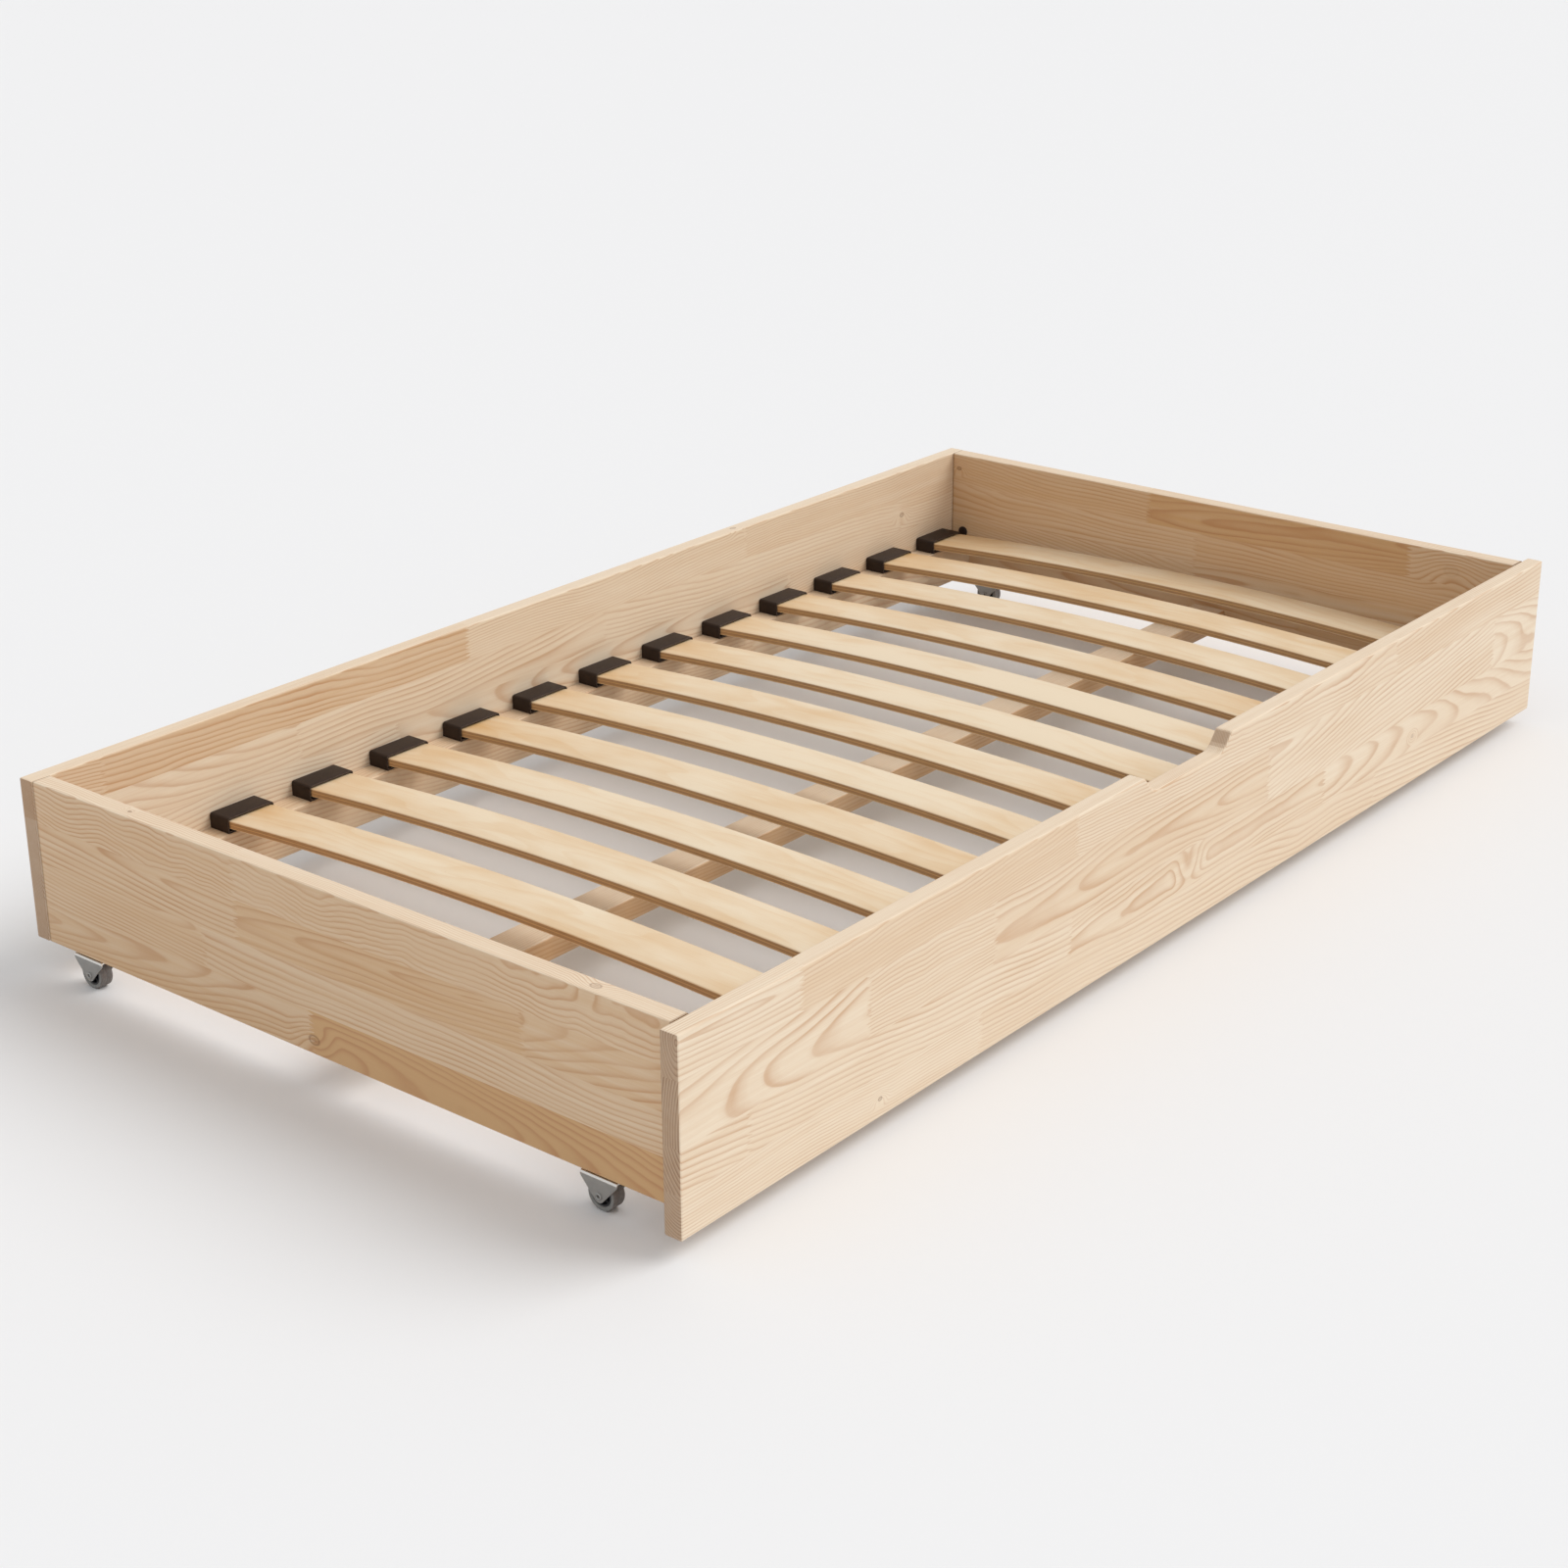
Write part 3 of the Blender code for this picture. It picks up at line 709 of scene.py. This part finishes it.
def fork_mesh(material):
    """A sheet bent over the wheel: rows run up one cheek, over the top and down the other."""
    outer = FORK_DEPTH / 2
    straight = FORK_TOP - FORK_BEND
    half, shoulder = FORK_WIDTH / 2, FORK_TOP - FORK_SHOULDER
    reach = math.hypot(half, shoulder)
    tangent = math.atan2(shoulder, half) - math.acos(CHEEK_RADIUS / reach)
    touch = CHEEK_RADIUS * math.sin(tangent)
    touch_half = CHEEK_RADIUS * math.cos(tangent)

    def half_width(z):
        if z < touch:
            return math.sqrt(max(CHEEK_RADIUS**2 - z * z, CHEEK_TIP**2))
        slanted = touch_half + (half - touch_half) * (z - touch) / (shoulder - touch)
        short = max(0.0, FORK_BLEND - abs(half - slanted))
        return min(half, slanted) - short**2 / (4 * FORK_BLEND)

    cheek = [-CHEEK_RADIUS * math.cos(step * math.pi / 20) for step in range(14)]
    cheek = [z for z in cheek if z < touch]
    climb = [touch + (straight - touch) * step / 18 for step in range(19)]
    side = [(outer, z, half_width(z)) for z in cheek + climb]
    bend = []
    for step in range(1, 9):
        angle = step * math.pi / 16
        z = straight + FORK_BEND * math.sin(angle)
        bend.append((outer - FORK_BEND * (1 - math.cos(angle)), z, half_width(z)))
    path = side + bend
    path += [(-x, z, wide) for x, z, wide in reversed(path)]

    shape = bmesh.new()
    rows = []
    for x, z, wide in path:
        row = [Vector((x, wide * (2 * step / FORK_COLUMNS - 1), z)) for step in range(FORK_COLUMNS + 1)]
        rows.append([shape.verts.new(point) for point in row])
    for first, second in zip(rows, rows[1:]):
        for index in range(FORK_COLUMNS):
            shape.faces.new((first[index], first[index + 1], second[index + 1], second[index]))
    sheet = bpy.data.objects.new("sheet", finished(shape, "sheet", material))
    if sheet.data.polygons[0].normal.x < 0:
        sheet.data.flip_normals()
    solid = sheet.modifiers.new("thickness", "SOLIDIFY")
    solid.thickness = FORK_SHEET
    solid.offset = -1
    solid.use_even_offset = True
    arris = sheet.modifiers.new("arris", "BEVEL")
    arris.width = FORK_ARRIS
    arris.segments = 2
    arris.limit_method = "ANGLE"
    arris.angle_limit = math.radians(50)
    return applied(sheet, 30)


def pad_mesh(material):
    """The raised pad between the fork's top plate and the board."""
    rings = []
    for z, inset in ((0.0, 0.0), (PAD_HEIGHT - 0.0004, 0.0), (PAD_HEIGHT, 0.0004)):
        outline = rounded_outline(PAD_SIZE[0] - 2 * inset, PAD_SIZE[1] - 2 * inset, (0.002,) * 4, 4)
        rings.append([Vector((u, v, FORK_TOP + z)) for u, v in outline])
    return lofted(rings, material, 30)


def turned(profile, material, smooth_angle=30, closed=False, steps=72):
    """A mesh of revolution round X from (radius, x) points."""
    rings = []
    for radius, x in profile:
        angles = [2 * math.pi * step / steps for step in range(steps)]
        rings.append([Vector((x, radius * math.cos(a), radius * math.sin(a))) for a in angles])
    return lofted(rings, material, smooth_angle, closed)


def both_sides(profile):
    return profile + [(radius, -x) for radius, x in reversed(profile)]


def tyre_mesh(material):
    side, inside = WHEEL_WIDTH / 2, HUB_RADIUS + SHOWN_GAP
    corner = 0.0015
    bend = []
    for step in range(9):
        angle = step * math.pi / 16
        radius = WHEEL_RADIUS - corner * (1 - math.sin(angle))
        bend.append((radius, side - corner * (1 - math.cos(angle))))
    profile = [
        (inside, side - 0.0014),
        (inside + 0.0004, side - 0.0006),
        (inside + 0.0012, side - 0.0004),
        (inside + 0.0016, side),
        *bend,
        (WHEEL_RADIUS, 0.0009),
        (WHEEL_RADIUS - 0.0002, 0.0006),
        (WHEEL_RADIUS - 0.0002, 0.0003),
        (WHEEL_RADIUS, 0.00015),
    ]
    return turned(both_sides(profile), material, 40, True, 96)


def hub_mesh(material):
    """A recessed disc with a boss, a rim and ribs between them on both sides."""
    web, boss, rim = 0.0024, 0.0094, 0.0078
    rib, crest, chamfer = 0.0006, 0.0003, 0.0003
    profile = [
        (AXLE_RADIUS + 0.0004, boss),
        (0.0048, boss),
        (0.0051, boss - 0.0003),
        (0.0054, web + 0.0006),
        (0.0060, web),
        (HUB_RADIUS - 0.0024, web),
        (HUB_RADIUS - 0.0018, web + 0.0006),
        (HUB_RADIUS - 0.0016, rim - 0.0003),
        (HUB_RADIUS - 0.0013, rim),
        (HUB_RADIUS - 0.0003, rim),
        (HUB_RADIUS, rim - 0.0003),
    ]
    disc = turned(both_sides(profile), material, 30, True)
    shape = bmesh.new()
    shape.from_mesh(disc)
    for side in (-1, 1):
        for step in range(HUB_RIBS):
            angle = 2 * math.pi * (step + 0.25 * side) / HUB_RIBS
            out = Vector((0, math.cos(angle), math.sin(angle)))
            across = Vector((0, -math.sin(angle), math.cos(angle)))
            rings = []
            for radius, height in ((0.0050, 0.0070), (0.0080, 0.0064), (HUB_RADIUS - 0.0014, 0.0066)):
                foot, shoulder = web - 0.0004, height - chamfer
                outline = (
                    (-rib, foot), (rib, foot), (rib, shoulder),
                    (crest, height), (-crest, height), (-rib, shoulder),
                )
                rings.append([out * radius + across * u + Vector((side * v, 0, 0)) for u, v in outline])
            shape.from_mesh(lofted(rings, material, 30))
    return finished(shape, "hub", material, 30)


def rivet_mesh(material):
    neck = FORK_DEPTH / 2
    face = neck + AXLE_HEAD + SHOWN_GAP
    head = AXLE_HEAD_RADIUS
    profile = [
        (0.0002, face - 0.0012),
        (0.0011, face - 0.00115),
        (0.0019, face - 0.0008),
        (0.0025, face - 0.0001),
        (0.0029, face),
        (head - 0.0008, face - 0.0001),
        (head - 0.0003, face - 0.0003),
        (head, face - 0.0007),
        (head, neck + 0.0001),
        (AXLE_RADIUS, neck),
    ]
    return turned(both_sides(profile), material, 40, False, 48)


def screw_mesh(material):
    """A pan head with a cross recess, hanging under the fork's top plate."""
    height, radius = 0.0022, 0.0034
    bar, slit, recess = 0.0034, 0.0007, 0.0010
    profile = [
        (0.0002, height),
        (0.0015, height),
        (0.0024, height - 0.0002),
        (0.0030, height - 0.0006),
        (radius, height - 0.0013),
        (radius, 0.0),
    ]
    head = bpy.data.objects.new("head", turned(profile, material, 40, False, 48))
    cutters = []
    for wide, deep in ((bar, slit), (slit, bar)):
        rings = [
            [Vector((x, wide * u / 2, deep * v / 2)) for u, v in ((1, 1), (-1, 1), (-1, -1), (1, -1))]
            for x in (height - recess, height + recess)
        ]
        cutter = bpy.data.objects.new("slot", lofted(rings, material, 30))
        bpy.context.scene.collection.objects.link(cutter)
        cut = head.modifiers.new("slot", "BOOLEAN")
        cut.operation = "DIFFERENCE"
        cut.object = cutter
        cutters.append(cutter)
    mesh = applied(head, 40)
    for cutter in cutters:
        bpy.data.objects.remove(cutter)
    return mesh


def make_castors():
    metal, tyre_grey, hub_black = zinc(), rubber(), hub_plastic()
    fork, rivet, screw = fork_mesh(metal), rivet_mesh(metal), screw_mesh(metal)
    pad = pad_mesh(hub_black)
    tyre, hub = tyre_mesh(tyre_grey), hub_mesh(hub_black)
    turn = Matrix.Rotation(math.pi / 2, 4, "Y")
    for corner in (f"{side}_{end}" for side in SIDES for end in ENDS):
        low, high = (Vector(point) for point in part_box(f"castor_tyre_{corner}"))
        centre = (low + high) / 2
        wheel = f"wheel_{corner}"
        bent = piece(f"fork_{corner}", fork, BODY, centre)
        pin = piece(f"rivet_{corner}", rivet, BODY, centre)
        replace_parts(bent, f"castor_fork_{corner}")
        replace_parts(pin, f"castor_axle_{corner}")
        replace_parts(piece(f"tyre_{corner}", tyre, wheel, centre), f"castor_tyre_{corner}")
        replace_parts(piece(f"hub_{corner}", hub, wheel, centre), f"castor_hub_{corner}")
        piece(f"fork_pad_{corner}", pad, BODY, centre)
        for number, shift in enumerate((-SCREW_PLACE, SCREW_PLACE), 1):
            place = centre + Vector((0, shift, FORK_TOP - FORK_SHEET))
            piece(f"fork_screw_{corner}_{number}", screw, BODY, place, turn)


# ---------------------------------------------------------------- corner covers


def make_corner_covers(plastic):
    """Domed caps over the cam locks, on the end boards' inner faces."""
    rim, dome = COVER_RADIUS, COVER_HEIGHT
    profile = [(rim - 0.0006, 0.0), (rim, 0.0001), (rim, 0.0008), (rim - 0.0004, 0.0012)]
    for step in range(1, COVER_STEPS + 1):
        share = 1 - step / COVER_STEPS
        profile.append(((rim - 0.0010) * share + 0.0002, COVER_LIP + (dome - COVER_LIP) * (1 - share**2)))
    cover = turned(profile, plastic, 50)
    for end, sign in zip(ENDS, (-1, 1)):
        low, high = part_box(f"end_board_{end}")
        inner = high[0] if sign < 0 else low[0]
        for side, across in zip(SIDES, (-1, 1)):
            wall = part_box(f"{side}_board")[1 if across < 0 else 0][1]
            place = Vector((inner, wall - across * COVER_INSET, COVER_PLACE))
            turn = Matrix.Rotation(math.pi if sign > 0 else 0, 4, "Z")
            piece(f"corner_cover_{side}_{end}", cover, BODY, place, turn)


# ---------------------------------------------------------------- shapes


def rounded_outline(width, height, radii, steps):
    """A rounded rectangle round the origin, anticlockwise from its upper right corner."""
    points = []
    corners = ((1, 1), (-1, 1), (-1, -1), (1, -1))
    for turn, ((side, up), radius) in enumerate(zip(corners, radii)):
        for step in range(steps + 1):
            angle = (turn + step / steps) * math.pi / 2
            across = side * (width / 2 - radius) + radius * math.cos(angle)
            points.append((across, up * (height / 2 - radius) + radius * math.sin(angle)))
    return points


def lofted(rings, material, smooth_angle, closed=False):
    """A skin over rings of points. Its ends are filled, or joined to each other if it is closed."""
    shape = bmesh.new()
    loops = [[shape.verts.new(point) for point in ring] for ring in rings]
    pairs = list(zip(loops, loops[1:]))
    if closed:
        pairs.append((loops[-1], loops[0]))
    for first, second in pairs:
        for index in range(len(first)):
            after = (index + 1) % len(first)
            shape.faces.new((first[index], first[after], second[after], second[index]))
    if not closed:
        shape.faces.new(loops[0])
        shape.faces.new(loops[-1])
    return finished(shape, "lofted", material, smooth_angle)


def finished(shape, name, material, smooth_angle=30):
    bmesh.ops.recalc_face_normals(shape, faces=shape.faces)
    mesh = bpy.data.meshes.new(name)
    shape.to_mesh(mesh)
    shape.free()
    mesh.materials.clear()
    mesh.materials.append(material)
    return smoothed(mesh, smooth_angle)


def smoothed(mesh, angle):
    mesh.shade_smooth()
    mesh.set_sharp_from_angle(angle=math.radians(angle))
    return mesh


def applied(obj, smooth_angle):
    """The object's mesh with its modifiers applied. The object itself goes."""
    bpy.context.scene.collection.objects.link(obj)
    depsgraph = bpy.context.evaluated_depsgraph_get()
    mesh = bpy.data.meshes.new_from_object(obj.evaluated_get(depsgraph))
    bpy.data.objects.remove(obj)
    return smoothed(mesh, smooth_angle)


def piece(name, mesh, body, place=(0, 0, 0), turn=Matrix.Identity(4)):
    """A shown object at a place, riding on a body."""
    obj = bpy.data.objects.new(name, mesh)
    bpy.context.scene.collection.objects.link(obj)
    obj.matrix_world = Matrix.Translation(place) @ turn
    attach(obj, body)
    return obj


# ---------------------------------------------------------------- studio


FLOOR_REACH = 40  # from the middle to its edges, in metres
FLOOR_PALE = srgb(235, 235, 236)
SKY_COLOUR = (0.978, 0.985, 0.992)
SKY_STRENGTH = 0.72
KEY_DIRECTION = (0.56, -0.50, 0.76)  # from the bed to the light
KEY_COLOUR = (1.0, 0.988, 0.970)
KEY_STRENGTH = 1.62
KEY_ANGLE = math.radians(42)  # how wide the light looks from the bed


def make_camera():
    camera = bpy.data.objects.new("camera", bpy.data.cameras.new("camera"))
    camera.data.lens = CAMERA_LENS
    camera.data.sensor_width = CAMERA_SENSOR
    turn = Matrix.Rotation(-CAMERA_AZIMUTH, 4, "Z")
    tilt = Matrix.Rotation(math.pi / 2 - CAMERA_DROP, 4, "X")
    roll = Matrix.Rotation(CAMERA_ROLL, 4, "Z")
    camera.matrix_world = Matrix.Translation(CAMERA_PLACE) @ turn @ tilt @ roll
    bpy.context.scene.collection.objects.link(camera)
    bpy.context.scene.camera = camera


def make_floor():
    shape = bmesh.new()
    bmesh.ops.create_grid(shape, x_segments=1, y_segments=1, size=FLOOR_REACH)
    mesh = bpy.data.meshes.new("floor")
    shape.to_mesh(mesh)
    shape.free()
    floor = bpy.data.objects.new("floor", mesh)
    bpy.context.scene.collection.objects.link(floor)
    material, _, shader = new_surface("floor", 0.75)
    shader.inputs["Base Color"].default_value = (*FLOOR_PALE, 1)
    shader.inputs["Specular IOR Level"].default_value = 0.2
    mesh.materials.append(material)


def sun_light(name, towards, strength, softness, colour):
    """A distant soft light. It stands in the direction "towards"."""
    lamp = bpy.data.lights.new(name, "SUN")
    lamp.energy = strength
    lamp.angle = softness
    lamp.color = colour
    light = bpy.data.objects.new(name, lamp)
    light.rotation_euler = Vector(towards).to_track_quat("Z", "Y").to_euler()
    bpy.context.scene.collection.objects.link(light)


def make_studio():
    scene = bpy.context.scene
    world = bpy.data.worlds.new("studio")
    world.use_nodes = True
    sky = world.node_tree.nodes["Background"]
    sky.inputs["Color"].default_value = (*SKY_COLOUR, 1)
    sky.inputs["Strength"].default_value = SKY_STRENGTH
    scene.world = world
    scene.view_settings.view_transform = "Standard"
    scene.view_settings.look = "None"
    sun_light("key", KEY_DIRECTION, KEY_STRENGTH, KEY_ANGLE, KEY_COLOUR)
    make_floor()
    make_camera()


dress_boards()
make_slats()
plastic = black_plastic()
make_slat_caps(plastic)
make_castors()
make_corner_covers(plastic)
make_studio()
